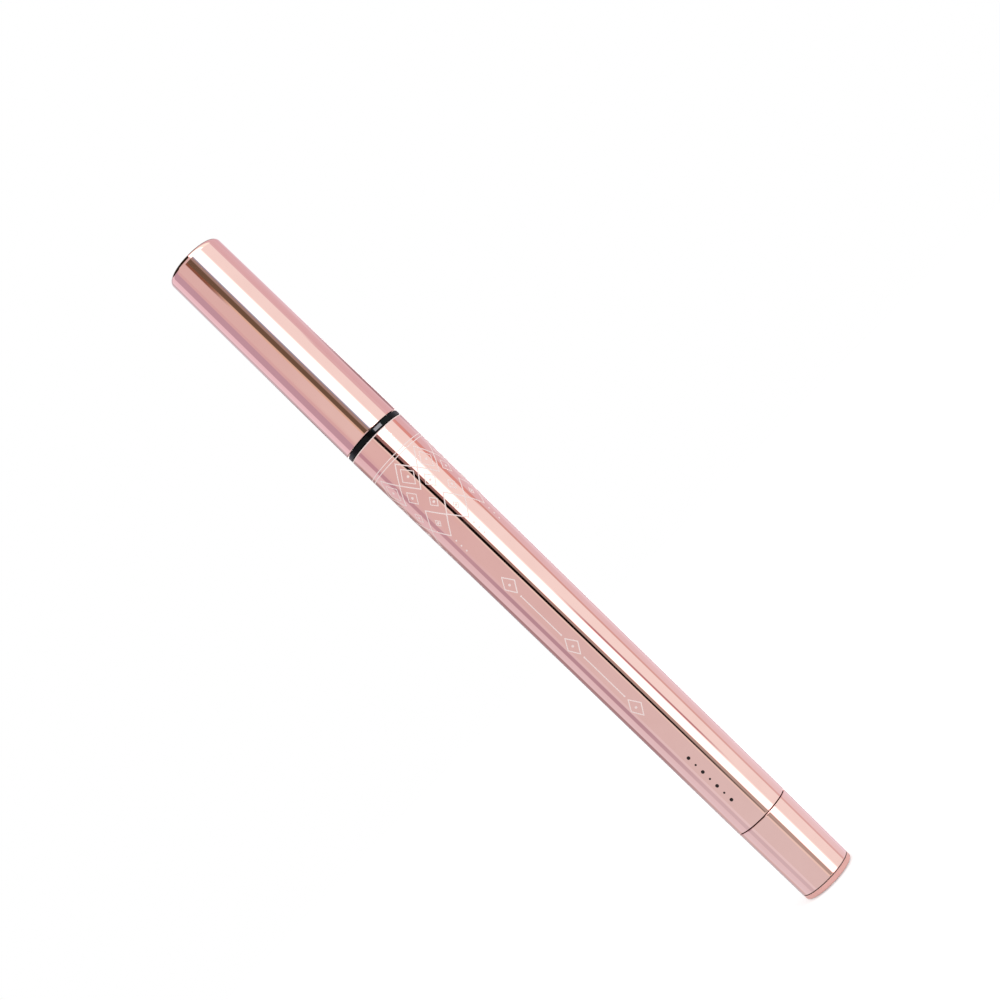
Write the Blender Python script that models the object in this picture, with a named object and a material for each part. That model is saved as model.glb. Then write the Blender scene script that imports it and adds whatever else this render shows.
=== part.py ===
# Twist-feed liquid eyeliner pen, standing on its tail: metres, +Z towards the cap, tail face at z = 0.
# A brush sits under a pull-off cap. Turning the tail knob turns a screw that runs through a fixed nut
# and drives a piston up the reservoir, so that liquid reaches the brush through a thin pipe.
# Radii build outwards from the screw to the shells, and heights build upwards from the tail.
import math

import bmesh
import bpy

# Clearances
press_gap = 0.00015     # between pieces that are pressed together
turning_gap = 0.00015   # between pieces that turn or slide on each other
seat_gap = 0.0003       # along the axis, between a piece and what it is seated on
seam_gap = 0.00015      # the seams that show on the outside
ring_gap = 0.00008      # between a sealing ring and its groove or bore

# Screw and nut
rod_radius = 0.00135
rod_flat_width = 0.0019     # across the two flats that the sleeve turns
thread_depth = 0.0003
thread_lead = 0.0020        # one turn of the knob feeds the piston this far
thread_gap = 0.00015
spare_turns = 2             # of thread past each end, trimmed away
thread_row_shares = (0.0, 0.3, 0.5, 0.8)    # of a lead: both edges of the crest, both edges of the root
nut_length = 0.0045
key_length = 0.0030         # front stretch of the sleeve that grips the flats
key_margin = 0.0008         # rod left in the key at full feed
key_gap = 0.00012

# Piston, and the screw's head inside it
rod_neck_root = 0.0010      # how deep the neck is rooted in the rod
rod_neck_radius = 0.0008
rod_neck_length = 0.0011
rod_head_radius = 0.00125
rod_head_length = 0.0009
piston_length = 0.0055
piston_lip = 0.0008
piston_waist_depth = 0.0004
piston_gap = 0.0001
ball_radius = 0.0015

# Drive sleeve, bearing and housing
sleeve_wall = 0.00035
spigot_wall = 0.00035
bush_wall = 0.00023         # under the ring's groove
bush_land = 0.0011          # beside the groove and the bead
knob_ring_thickness = 0.00045
snap_catch = 0.0001         # how far the bush's bead stands past the housing's bore
snap_width = 0.0008
housing_wall = 0.0007

# Ratchet
ratchet_recess = 0.0003
ratchet_length = 0.0030
tooth_height = 0.00028
tooth_count = 12
tooth_shares = (0.0, 0.07, 0.5)     # of a tooth: crest, root behind the steep face, middle of the ramp
pawl_margin = 0.0004        # how much shorter the pawl is at each end
pawl_hub_wall = 0.00025
pawl_slot = 0.0002
pawl_arm = 0.0002
pawl_nose = 0.00006         # how far the nose stands out of its arm
pawl_nose_gap = 0.0001      # nose to tooth crest, as when it is pressed in
pawl_root_degrees = 22
pawl_arm_degrees = 120
pawl_nose_degrees = 10
pawl_steps = 8

# Tail: disc, stem, knob shell and core. The visible radii step and taper from the barrel's rear end
knob_length = 0.0147        # from the tail face to the seam at the barrel
knob_step = 0.00002         # how far the knob's front edge lies inside the barrel's outline
knob_taper = 0.000115
knob_wall = 0.0007
disc_thickness = 0.0011
disc_step = 0.00005         # how far the disc lies inside the knob's outline
disc_shoulder = 0.0018      # how far in from its edge the disc's rounding reaches
disc_edge = 0.00065         # straight part of the disc's edge
stem_length = 0.0028
stem_wall = 0.0010          # core wall round the stem
core_web = 0.0008
core_recess = 0.0004        # core's shoulder behind the knob's front edge

# Barrel and reservoir
barrel_length = 0.0819
barrel_wall = 0.0007        # at the rear end, where it is thinnest
barrel_flare = 0.00033      # how much the radius grows towards the black band
barrel_hollow = 0.00005     # how far the side dips below a straight taper at its middle
shell_edge = 0.00012        # small break on the ends of the shells
reservoir_wall = 0.00075

# Front collar: plug, black band and neck
plug_length = 0.0075
plug_wall = 0.0010
neck_ring_thickness = 0.00055
neck_ring_height = 0.0028   # centre of the plug's groove above the plug's rear face
band_thickness = 0.0008     # the black band that shows between cap and barrel
band_inset = 0.00002
neck_length = 0.0080
bead_rise = 0.00012
bead_width = 0.0010
bead_height = 0.0030        # centre of the bead above the black band
web_thickness = 0.0015

# Feed pipe and its holder
pipe_radius = 0.00045
pipe_bore = 0.00025
pipe_inset = 0.0018         # pipe's rear end above the plug's rear face
pipe_depth = 0.0015         # pipe's front end behind the cone's tip, inside the brush
holder_recess = 0.0003
funnel_radius = 0.0012
funnel_depth = 0.0013

# Nozzle and brush
nozzle_plug_length = 0.0065
nozzle_plug_wall = 0.00057
nozzle_flange_thickness = 0.0007
cone_length = 0.0110
cone_flare = 0.0008         # how much wider the cone is at its base than at its tip
cone_tip_wall = 0.00045
cone_edge = 0.0002
brush_radius = 0.0011
brush_gap = 0.0001
brush_length = 0.0090       # bristle that stands out of the cone
brush_tip_radius = 0.00008
brush_fullness = 1.7        # how long the brush stays full before it comes to its point
brush_flange = 0.0008
brush_seat_step = 0.00025   # how much wider the nozzle's bore is behind the brush's seat
brush_seat_depth = 0.0065   # seat behind the cone's tip

# Cap
cap_step = 0.00001          # how far the cap's mouth stands out past the barrel's front edge
cap_taper = 0.00024
cap_wall = 0.0007
cap_end_wall = 0.0010
cap_shoulder = 0.0015       # how far in from its edge the end's rounding reaches
cap_shoulder_drop = 0.00042
cap_head_room = 0.00265     # between the liner's end and the cap's end wall
liner_recess = 0.0003
liner_wall = 0.0006
liner_end = 0.0008
chamber_step = 0.00052
seal_thickness = 0.0009
seal_lip = 0.0001
tip_room = 0.0050           # free length above the brush inside the liner

# Facets of round pieces and of rounded edges
large_segments = 36
small_segments = 24
fine_segments = 16
round_steps = 4
brush_steps = 6
barrel_steps = 4
sharp_degrees = 35
weld_distance = 1e-7
cut_overrun = 0.001

# Radii, from the screw outwards
sleeve_bore = rod_radius + turning_gap
sleeve_radius = sleeve_bore + sleeve_wall
spigot_bore = sleeve_radius + press_gap
spigot_radius = spigot_bore + spigot_wall
hub_bore = spigot_radius + press_gap
bush_groove = hub_bore + bush_wall
housing_bore = bush_groove + knob_ring_thickness + 2 * ring_gap
bush_radius = housing_bore - turning_gap
snap_radius = housing_bore + snap_catch
tube_radius = housing_bore + housing_wall
barrel_bore = tube_radius + press_gap
barrel_rear_radius = barrel_bore + barrel_wall
barrel_front_radius = barrel_rear_radius + barrel_flare
knob_front_radius = barrel_rear_radius - knob_step
tail_radius = knob_front_radius - knob_taper
core_radius = tail_radius - knob_wall - press_gap
stem_bore = core_radius - stem_wall
cap_mouth_radius = barrel_front_radius + cap_step
cap_top_radius = cap_mouth_radius - cap_taper
reservoir_bore = tube_radius - reservoir_wall
plug_radius = reservoir_bore - press_gap
plug_bore = plug_radius - plug_wall
brush_bore = brush_radius + brush_gap
brush_seat_bore = brush_bore + brush_seat_step
brush_flange_radius = brush_seat_bore - press_gap
nozzle_plug_radius = brush_seat_bore + nozzle_plug_wall
collar_bore = nozzle_plug_radius + press_gap
cone_tip_radius = brush_bore + cone_tip_wall
cone_base_radius = cone_tip_radius + cone_flare
pipe_hole = pipe_radius + press_gap

# Heights, from the tail up
core_base = disc_thickness + seat_gap
web_base = disc_thickness + stem_length + seat_gap
rod_rear = web_base + core_web + seat_gap
barrel_rear = knob_length + seam_gap
barrel_front = barrel_rear + barrel_length
ratchet_base = barrel_rear + ratchet_recess
housing_base = ratchet_base + ratchet_length + seat_gap
knob_ring_height = bush_land + knob_ring_thickness / 2 + ring_gap
snap_low = knob_ring_height + knob_ring_thickness / 2 + ring_gap + bush_land
snap_high = snap_low + snap_width
bush_length = snap_high + bush_land
plug_base = barrel_front - plug_length
ball_room = 2 * (ball_radius + seat_gap)
feed_length = plug_base - rod_rear - key_length - key_margin - nut_length - piston_length - ball_room
piston_travel = feed_length / 2 - seat_gap
nut_base = rod_rear + piston_travel + key_length + key_margin
piston_base = nut_base + nut_length + seat_gap
band_base = barrel_front + seam_gap
neck_base = band_base + band_thickness
neck_top = neck_base + neck_length
nozzle_base = neck_top - nozzle_plug_length
cone_base = neck_top + seam_gap + nozzle_flange_thickness
cone_tip = cone_base + cone_length
brush_seat = cone_tip - brush_seat_depth
brush_base = brush_seat - press_gap - brush_flange
brush_tip = cone_tip + brush_length
cap_mouth = neck_base + seam_gap
liner_base = cap_mouth + liner_recess
seal_base = cone_base + seat_gap
chamber_base = seal_base + seal_thickness + seat_gap
chamber_top = brush_tip + tip_room
liner_top = chamber_top + liner_end
cap_end_inside = liner_top + cap_head_room
pen_length = cap_end_inside + cap_end_wall


def cap_radius_at(z):
    share = (z - cap_mouth) / (pen_length - cap_mouth)
    return cap_mouth_radius - cap_taper * share


def liner_radius_at(z):
    return cap_radius_at(z) - cap_wall - press_gap


# Radii, from the cap inwards
liner_bore = liner_radius_at(liner_top) - liner_wall
chamber_radius = liner_bore - chamber_step
bead_radius = liner_bore - turning_gap
neck_radius = bead_radius - bead_rise


def material(name, colour, roughness, metallic=0.0):
    made = bpy.data.materials.new(name)
    made.use_nodes = True
    shader = made.node_tree.nodes["Principled BSDF"]
    shader.inputs["Base Color"].default_value = (*colour, 1.0)
    shader.inputs["Roughness"].default_value = roughness
    shader.inputs["Metallic"].default_value = metallic
    return made


def polar(radius, degrees):
    return radius * math.cos(math.radians(degrees)), radius * math.sin(math.radians(degrees))


def rounding(centre, reach, height, start, end):
    """Quarter of an ellipse in an outline: its centre, its reach outwards and its height."""
    points = []
    for k in range(round_steps + 1):
        across, up = polar(1, start + (end - start) * k / round_steps)
        points.append((centre[0] + reach * across, centre[1] + height * up))
    return points


def tube(inner, outer, length):
    return [(inner, 0), (outer, 0), (outer, length), (inner, length)]


def rectangle(half_x, half_y):
    return [(-half_x, -half_y), (half_x, -half_y), (half_x, half_y), (-half_x, half_y)]


def add_object(name, shape, finish, parent, z):
    """Turns a bmesh into a named object at height z, smooth except over its sharp edges."""
    bmesh.ops.remove_doubles(shape, verts=shape.verts, dist=weld_distance)
    bmesh.ops.recalc_face_normals(shape, faces=shape.faces)
    mesh = bpy.data.meshes.new(name)
    shape.to_mesh(mesh)
    shape.free()
    mesh.shade_smooth()
    mesh.set_sharp_from_angle(angle=math.radians(sharp_degrees))
    if finish:
        mesh.materials.append(finish)
    made = bpy.data.objects.new(name, mesh)
    bpy.context.scene.collection.objects.link(made)
    made.parent = parent
    made.location.z = z
    return made


def turned(name, outline, z, finish, parent, segments=large_segments):
    """A piece turned about Z from a closed outline of (radius, height above z) points."""
    shape = bmesh.new()
    corners = [shape.verts.new((r, 0, h)) for r, h in outline]
    sides = zip(corners, corners[1:] + corners[:1])
    edges = [shape.edges.new(side) for side in sides if side[0].co.x > 0 or side[1].co.x > 0]
    bmesh.ops.spin(shape, geom=corners + edges, axis=(0, 0, 1), angle=math.tau, steps=segments,
                   use_merge=True)
    return add_object(name, shape, finish, parent, z)


def raised(shape, faces, height):
    made = bmesh.ops.extrude_face_region(shape, geom=faces)["geom"]
    tops = [v for v in made if isinstance(v, bmesh.types.BMVert)]
    bmesh.ops.translate(shape, vec=(0, 0, height), verts=tops)


def prism(name, points, z, height, parent):
    """A tool drawn up from a flat outline of (x, y) points."""
    shape = bmesh.new()
    face = shape.faces.new([shape.verts.new((x, y, 0)) for x, y in points])
    raised(shape, [face], height)
    return add_object(name, shape, None, parent, z)


def boolean(target, tool, operation):
    """Cuts, joins or trims target with tool, and hides tool as a guide."""
    tool.hide_render = True
    tool.display_type = "WIRE"
    modifier = target.modifiers.new(tool.name, "BOOLEAN")
    modifier.operation = operation
    modifier.object = tool


def helix(name, root, crest, first_turn, last_turn, finish, parent):
    """A right-hand thread on a solid core, counted in turns from the screw's rear end.

    Each turn has a crest, a flank, a root and a flank. Every column of points is one step
    further round and that share of a lead higher, so the rows follow the helix exactly.
    """
    turn_rows = len(thread_row_shares)
    row_radii = (crest, crest, root, root)
    rows = (last_turn - first_turn) * turn_rows
    shape = bmesh.new()
    columns = []
    for i in range(fine_segments):
        turn = i / fine_segments
        column = []
        for j in range(rows + 1):
            z = (first_turn + turn + j // turn_rows + thread_row_shares[j % turn_rows]) * thread_lead
            x, y = polar(row_radii[j % turn_rows], 360 * turn)
            column.append(shape.verts.new((x, y, z)))
        columns.append(column)
    wrap = columns[0][turn_rows:]
    for left, right in zip(columns, columns[1:] + [wrap]):
        for low in range(len(right) - 1):
            shape.faces.new((left[low], right[low], right[low + 1], left[low + 1]))
    floor_loop = [column[0] for column in columns] + columns[0][turn_rows:0:-1]
    roof_loop = [column[-1] for column in columns] + columns[-1][-2:-turn_rows - 2:-1]
    for loop in (floor_loop, roof_loop):
        middle = shape.verts.new((0, 0, sum(v.co.z for v in loop) / len(loop)))
        for a, b in zip(loop, loop[1:] + loop[:1]):
            shape.faces.new((middle, a, b))
    return add_object(name, shape, finish, parent, rod_rear)


def sealing_ring(name, middle_radius, thickness, z, finish, parent):
    shape = bmesh.new()
    section = bmesh.ops.create_circle(shape, segments=2 * round_steps, radius=thickness / 2)["verts"]
    for v in section:
        v.co = (middle_radius + v.co.x, 0, v.co.y)
    bmesh.ops.spin(shape, geom=section + shape.edges[:], axis=(0, 0, 1), angle=math.tau,
                   steps=small_segments, use_merge=True)
    add_object(name, shape, finish, parent, z)


def groove_in(outer, floor, middle, width):
    """Outline points of a groove in an outer wall, from below."""
    low = middle - width / 2
    high = middle + width / 2
    return [(outer, low), (floor, low), (floor, high), (outer, high)]


def joint_axis(name, parent=None):
    """Every joint turns about or slides along the pen's own axis, so each body's origin is at the tail."""
    made = bpy.data.objects.new(name, None)
    bpy.context.scene.collection.objects.link(made)
    made.parent = parent
    return made


def make_end_disc(knob, finish):
    """Tail disc with a soft rim and a flat middle to stand on, and the stem that closes the core."""
    radius = tail_radius - disc_step
    stem_radius = stem_bore - press_gap
    rim_height = disc_thickness - disc_edge
    rim = rounding((radius - disc_shoulder, rim_height), disc_shoulder, rim_height, -90, 0)
    outline = [(0, 0)] + rim + [
        (radius, disc_thickness), (stem_radius, disc_thickness),
        (stem_radius, disc_thickness + stem_length), (0, disc_thickness + stem_length)]
    turned("end_disc", outline, 0, finish, knob)


def make_knob_shell(knob, finish):
    base = disc_thickness + seam_gap
    length = knob_length - base
    outline = [
        (tail_radius - shell_edge, 0), (tail_radius, shell_edge),
        (knob_front_radius, length - shell_edge), (knob_front_radius - shell_edge, length),
        (knob_front_radius - knob_wall, length), (tail_radius - knob_wall, 0)]
    turned("knob_shell", outline, base, finish, knob)


def make_knob_core(knob, finish):
    """Fills the knob shell, closes on the tail disc's stem and carries the bearing on a spigot."""
    shoulder = knob_length - core_recess - core_base
    spigot_end = housing_base + bush_length - core_base
    web_low = web_base - core_base
    web_high = web_low + core_web
    outline = [
        (stem_bore, 0), (core_radius, 0), (core_radius, shoulder), (spigot_radius, shoulder),
        (spigot_radius, spigot_end), (spigot_bore, spigot_end), (spigot_bore, web_high),
        (0, web_high), (0, web_low), (stem_bore, web_low)]
    turned("knob_core", outline, core_base, finish, knob)


def make_drive_sleeve(knob, finish):
    """Long sleeve with a slot in its front wall that grips the screw's two flats."""
    length = nut_base - seat_gap - rod_rear
    key_floor = length - key_length
    outline = [
        (sleeve_bore, 0), (sleeve_radius, 0), (sleeve_radius, length),
        (0, length), (0, key_floor), (sleeve_bore, key_floor)]
    sleeve = turned("drive_sleeve", outline, rod_rear, finish, knob, small_segments)
    slot_shape = rectangle(rod_radius + key_gap, rod_flat_width / 2 + key_gap)
    slot_base = rod_rear + key_floor - cut_overrun
    slot = prism("key_slot_cutter", slot_shape, slot_base, key_length + 2 * cut_overrun, knob)
    boolean(sleeve, slot, "DIFFERENCE")


def make_bearing_bush(knob, finish, rubber):
    """Bush that turns in the housing, with a ring in its groove and a bead that snaps in."""
    slope = snap_radius - bush_radius
    groove = groove_in(bush_radius, bush_groove, knob_ring_height, knob_ring_thickness + 2 * ring_gap)
    outline = [(hub_bore, 0), (bush_radius, 0)] + groove + [
        (bush_radius, snap_low), (snap_radius, snap_low), (snap_radius, snap_high - slope),
        (bush_radius, snap_high), (bush_radius, bush_length), (hub_bore, bush_length)]
    turned("bearing_bush", outline, housing_base, finish, knob)
    middle_radius = bush_groove + ring_gap + knob_ring_thickness / 2
    sealing_ring("knob_o_ring", middle_radius, knob_ring_thickness, housing_base + knob_ring_height,
                 rubber, knob)


def make_click_pawl(knob, finish):
    """Hub on the spigot with two springy arms whose noses click over the ratchet's teeth."""
    hub_radius = hub_bore + pawl_hub_wall
    arm_bore = hub_radius + pawl_slot
    arm_radius = arm_bore + pawl_arm
    nose_radius = arm_radius + pawl_nose
    length = ratchet_length - 2 * pawl_margin
    base = ratchet_base + pawl_margin
    pawl = turned("click_pawl", tube(hub_bore, hub_radius, length), base, finish, knob)
    nose_end = pawl_arm_degrees + pawl_nose_degrees
    sweep = pawl_arm_degrees - pawl_root_degrees
    for side in (0, 180):
        outline = [polar(hub_bore + pawl_hub_wall / 2, side)]
        for k in range(pawl_steps + 1):
            outline.append(polar(arm_radius, side + pawl_arm_degrees * k / pawl_steps))
        outline.append(polar(nose_radius, side + pawl_arm_degrees))
        outline.append(polar(nose_radius, side + pawl_arm_degrees + pawl_nose_degrees / 2))
        outline.append(polar(arm_bore, side + nose_end))
        for k in range(pawl_steps + 1):
            outline.append(polar(arm_bore, side + pawl_arm_degrees - sweep * k / pawl_steps))
        outline.append(polar(hub_bore + pawl_hub_wall / 2, side + pawl_root_degrees))
        arm = prism(f"pawl_arm_{side}", outline, base, length, knob)
        boolean(pawl, arm, "UNION")


def make_ratchet_ring(pen, finish):
    """Fixed ring in the barrel's rear end, with saw teeth that clear the pawl's noses."""
    crest = hub_bore + pawl_hub_wall + pawl_slot + pawl_arm + pawl_nose + pawl_nose_gap
    root = crest + tooth_height
    crest_share, root_share, ramp_share = tooth_shares
    ramp = root - tooth_height * (ramp_share - root_share) / (1 - root_share)
    shape = bmesh.new()
    inner = []
    outer = []
    for k in range(tooth_count):
        for share, radius in ((crest_share, crest), (root_share, root), (ramp_share, ramp)):
            degrees = (k + share) * 360 / tooth_count
            inner.append(shape.verts.new((*polar(radius, degrees), 0)))
            outer.append(shape.verts.new((*polar(tube_radius, degrees), 0)))
    faces = []
    for k in range(len(inner)):
        beyond = (k + 1) % len(inner)
        faces.append(shape.faces.new((inner[k], outer[k], outer[beyond], inner[beyond])))
    raised(shape, faces, ratchet_length)
    add_object("ratchet_ring", shape, finish, pen, ratchet_base)


def make_housing(pen, finish):
    """Fixed sleeve in the barrel that holds the bearing behind and the nut in front."""
    length = nut_base + nut_length - housing_base
    groove = snap_radius + turning_gap
    outline = tube(housing_bore, tube_radius, length) + [
        (housing_bore, snap_high + turning_gap), (groove, snap_high + turning_gap),
        (groove, snap_low - turning_gap), (housing_bore, snap_low - turning_gap)]
    turned("mechanism_housing", outline, housing_base, finish, pen)


def make_nut(pen, finish):
    nut = turned("screw_nut", tube(0, housing_bore - press_gap, nut_length), nut_base, finish, pen,
                 small_segments)
    first = math.floor((nut_base - rod_rear) / thread_lead) - spare_turns
    last = math.ceil((nut_base + nut_length - rod_rear) / thread_lead) + spare_turns
    root = rod_radius - thread_depth + thread_gap
    boolean(nut, helix("nut_thread_cutter", root, rod_radius + thread_gap, first, last, None, pen),
            "DIFFERENCE")


def make_screw(screw, finish):
    """Threaded rod with two flats, and a head that the piston is snapped over."""
    thread_end = nut_base + nut_length - rod_rear
    last = math.ceil(thread_end / thread_lead) + spare_turns
    rod = helix("screw_rod", rod_radius - thread_depth, rod_radius, -spare_turns, last, finish, screw)
    trim_shape = rectangle(rod_radius + cut_overrun, rod_flat_width / 2)
    boolean(rod, prism("rod_trim", trim_shape, rod_rear, thread_end, screw), "INTERSECT")
    head_end = rod_neck_length + rod_head_length
    outline = [
        (0, -rod_neck_root), (rod_neck_radius, -rod_neck_root), (rod_neck_radius, rod_neck_length),
        (rod_head_radius, rod_neck_length), (rod_head_radius, rod_neck_length + rod_head_length / 2),
        (rod_neck_radius, head_end), (0, head_end)]
    boolean(rod, turned("rod_head", outline, piston_base, None, screw, fine_segments), "UNION")


def make_piston(piston, finish):
    """Piston with a lip at each end and a socket that traps the screw's head."""
    lip = reservoir_bore - piston_gap
    waist = lip - piston_waist_depth
    mouth = rod_neck_radius + turning_gap
    socket = rod_head_radius + turning_gap
    socket_low = rod_neck_length - turning_gap
    socket_high = rod_neck_length + rod_head_length + turning_gap
    outline = [
        (mouth, 0), (lip, 0), (lip, piston_lip), (waist, piston_lip + piston_waist_depth),
        (waist, piston_length - piston_lip - piston_waist_depth), (lip, piston_length - piston_lip),
        (lip, piston_length - piston_waist_depth), (waist, piston_length), (0, piston_length),
        (0, socket_high), (socket, socket_high), (socket, socket_low), (mouth, socket_low)]
    turned("piston", outline, piston_base, finish, piston, small_segments)


def make_ball(piston, finish):
    shape = bmesh.new()
    bmesh.ops.create_icosphere(shape, subdivisions=2, radius=ball_radius)
    add_object("mixing_ball", shape, finish, piston, piston_base + piston_length + seat_gap + ball_radius)


def make_reservoir(pen, finish):
    outline = tube(reservoir_bore, tube_radius, barrel_front - piston_base)
    turned("reservoir_tube", outline, piston_base, finish, pen)


def make_barrel(pen, finish):
    """Outer shell with a straight bore and a taper whose side is slightly hollow."""
    outline = [(barrel_bore, 0), (barrel_rear_radius - shell_edge, 0)]
    for k in range(barrel_steps + 1):
        share = k / barrel_steps
        radius = barrel_rear_radius + barrel_flare * share - 4 * barrel_hollow * share * (1 - share)
        outline.append((radius, shell_edge + (barrel_length - 2 * shell_edge) * share))
    outline += [(barrel_front_radius - shell_edge, barrel_length), (barrel_bore, barrel_length)]
    turned("barrel_shell", outline, barrel_rear, finish, pen)


def make_collar(pen, finish, rubber):
    """Front collar: a plug in the reservoir, the black band, and the neck that the cap snaps over."""
    groove_floor = plug_radius + press_gap - neck_ring_thickness - 2 * ring_gap
    band_radius = barrel_front_radius - band_inset
    band_low = band_base - plug_base
    band_high = neck_base - plug_base
    top = neck_top - plug_base
    bead_low = band_high + bead_height - bead_width / 2
    bead_high = bead_low + bead_width
    web_high = top - nozzle_plug_length - seat_gap
    web_low = web_high - web_thickness
    groove = groove_in(plug_radius, groove_floor, neck_ring_height, neck_ring_thickness + 2 * ring_gap)
    outline = [(plug_bore, 0), (plug_radius, 0)] + groove + [
        (plug_radius, band_low), (band_radius, band_low), (band_radius, band_high),
        (neck_radius, band_high), (neck_radius, bead_low), (bead_radius, bead_low + bead_rise),
        (bead_radius, bead_high - bead_rise), (neck_radius, bead_high),
        (neck_radius, top - shell_edge), (neck_radius - shell_edge, top), (collar_bore, top),
        (collar_bore, web_high), (pipe_hole, web_high), (pipe_hole, web_low), (plug_bore, web_low)]
    turned("neck_collar", outline, plug_base, finish, pen)
    middle_radius = groove_floor + ring_gap + neck_ring_thickness / 2
    sealing_ring("neck_o_ring", middle_radius, neck_ring_thickness, plug_base + neck_ring_height,
                 rubber, pen)


def make_pipe_holder(pen, finish):
    """Plug in the collar's rear bore, seated on its web, that funnels the liquid into the pipe."""
    outer = plug_bore - press_gap
    base = plug_base + holder_recess
    length = nozzle_base - seat_gap - web_thickness - seat_gap - base
    outline = [
        (funnel_radius, 0), (outer, 0), (outer, length), (pipe_hole, length), (pipe_hole, funnel_depth)]
    turned("pipe_holder", outline, base, finish, pen, small_segments)


def make_feed_pipe(pen, finish):
    base = plug_base + pipe_inset
    outline = tube(pipe_bore, pipe_radius, cone_tip - pipe_depth - base)
    turned("feed_pipe", outline, base, finish, pen, fine_segments)


def make_nozzle(pen, finish):
    """Front cone: its plug is pressed into the collar and its bore holds the brush."""
    flange_low = neck_top + seam_gap - nozzle_base
    flange_high = cone_base - nozzle_base
    tip = cone_tip - nozzle_base
    seat = brush_seat - nozzle_base
    outline = [
        (brush_seat_bore, 0), (nozzle_plug_radius, 0), (nozzle_plug_radius, flange_low),
        (neck_radius, flange_low), (neck_radius, flange_high - shell_edge),
        (neck_radius - shell_edge, flange_high), (cone_base_radius, flange_high),
        (cone_tip_radius, tip - cone_edge), (cone_tip_radius - cone_edge, tip), (brush_bore, tip),
        (brush_bore, seat), (brush_seat_bore, seat)]
    turned("nozzle_cone", outline, nozzle_base, finish, pen, small_segments)


def make_brush(pen, finish):
    """Bundle of bristles, full at the cone and drawn to a point, on a fused flange."""
    shaft_end = cone_tip - brush_base
    pocket = cone_tip - pipe_depth + press_gap - brush_base
    outline = [
        (pipe_hole, 0), (brush_flange_radius, 0), (brush_flange_radius, brush_flange),
        (brush_radius, brush_flange)]
    for k in range(brush_steps + 1):
        share = k / brush_steps
        radius = brush_radius - (brush_radius - brush_tip_radius) * share ** brush_fullness
        outline.append((radius, shaft_end + brush_length * share))
    outline += [(0, shaft_end + brush_length), (0, pocket), (pipe_hole, pocket)]
    turned("brush_tuft", outline, brush_base, finish, pen, fine_segments)


def make_brush_retainer(pen, finish):
    """Bush behind the brush's flange that holds it on its seat."""
    base = nozzle_base + press_gap
    outline = tube(pipe_hole, brush_flange_radius, brush_base - press_gap - base)
    turned("brush_retainer", outline, base, finish, pen, fine_segments)


def make_cap_shell(cap, finish):
    """Tapered shell, closed at the top by an end with soft shoulders."""
    length = pen_length - cap_mouth
    shoulder = length - cap_shoulder_drop
    edge_radius = cap_radius_at(cap_mouth + shoulder)
    inside_top = cap_end_inside - cap_mouth
    top = rounding((edge_radius - cap_shoulder, shoulder), cap_shoulder, cap_shoulder_drop, 0, 90)
    outline = [
        (cap_mouth_radius - cap_wall, 0), (cap_mouth_radius - shell_edge, 0),
        (cap_mouth_radius, shell_edge)] + top + [
        (0, length), (0, inside_top), (cap_radius_at(cap_end_inside) - cap_wall, inside_top)]
    turned("cap_shell", outline, cap_mouth, finish, cap)


def make_cap_liner(cap, finish):
    """Inner cap: a wide bore that grips the neck, a step for the seal, a closed chamber for the brush."""
    step = chamber_base - liner_base
    chamber_end = chamber_top - liner_base
    end = liner_top - liner_base
    outline = [
        (liner_bore, 0), (liner_radius_at(liner_base), 0), (liner_radius_at(liner_top), end), (0, end),
        (0, chamber_end), (chamber_radius, chamber_end), (chamber_radius, step), (liner_bore, step)]
    turned("cap_liner", outline, liner_base, finish, cap)


def make_cap_seal(cap, finish):
    """Soft ring on the liner's step that closes on the nozzle's flange."""
    outline = tube(chamber_radius - seal_lip, liner_bore - press_gap, seal_thickness)
    turned("cap_seal", outline, seal_base, finish, cap, small_segments)


def main():
    for old in list(bpy.data.objects):
        bpy.data.objects.remove(old)

    rose = material("rose_gold", (0.83, 0.53, 0.47), 0.12, 1.0)
    pink = material("pink_plastic", (0.80, 0.42, 0.40), 0.35)
    black = material("black_plastic", (0.008, 0.008, 0.009), 0.2)
    natural = material("natural_plastic", (0.75, 0.75, 0.72), 0.4)
    white = material("white_plastic", (0.80, 0.80, 0.78), 0.35)
    soft = material("soft_seal", (0.55, 0.55, 0.54), 0.6)
    rubber = material("black_rubber", (0.02, 0.02, 0.02), 0.6)
    steel = material("steel", (0.62, 0.62, 0.63), 0.2, 1.0)
    bristle = material("bristle", (0.05, 0.04, 0.035), 0.5)

    pen = joint_axis("pen_axis")
    knob = joint_axis("knob_axis", pen)
    piston = joint_axis("piston_axis", pen)
    screw = joint_axis("screw_axis", piston)
    cap = joint_axis("cap_axis", pen)

    make_end_disc(knob, pink)
    make_knob_shell(knob, rose)
    make_knob_core(knob, white)
    make_drive_sleeve(knob, natural)
    make_bearing_bush(knob, natural, rubber)
    make_click_pawl(knob, white)
    make_ratchet_ring(pen, natural)
    make_housing(pen, white)
    make_nut(pen, white)
    make_screw(screw, white)
    make_piston(piston, soft)
    make_ball(piston, steel)
    make_reservoir(pen, natural)
    make_barrel(pen, rose)
    make_collar(pen, black, rubber)
    make_pipe_holder(pen, natural)
    make_feed_pipe(pen, steel)
    make_nozzle(pen, black)
    make_brush(pen, bristle)
    make_brush_retainer(pen, natural)
    make_cap_shell(cap, rose)
    make_cap_liner(cap, natural)
    make_cap_seal(cap, soft)
    print(f"pen {pen_length:.5f} m long, {2 * cap_mouth_radius:.5f} m across, feed {piston_travel:.5f} m")


main()
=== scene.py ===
# Studio scene of a twist-feed liquid eyeliner pen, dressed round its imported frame
import math

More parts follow.
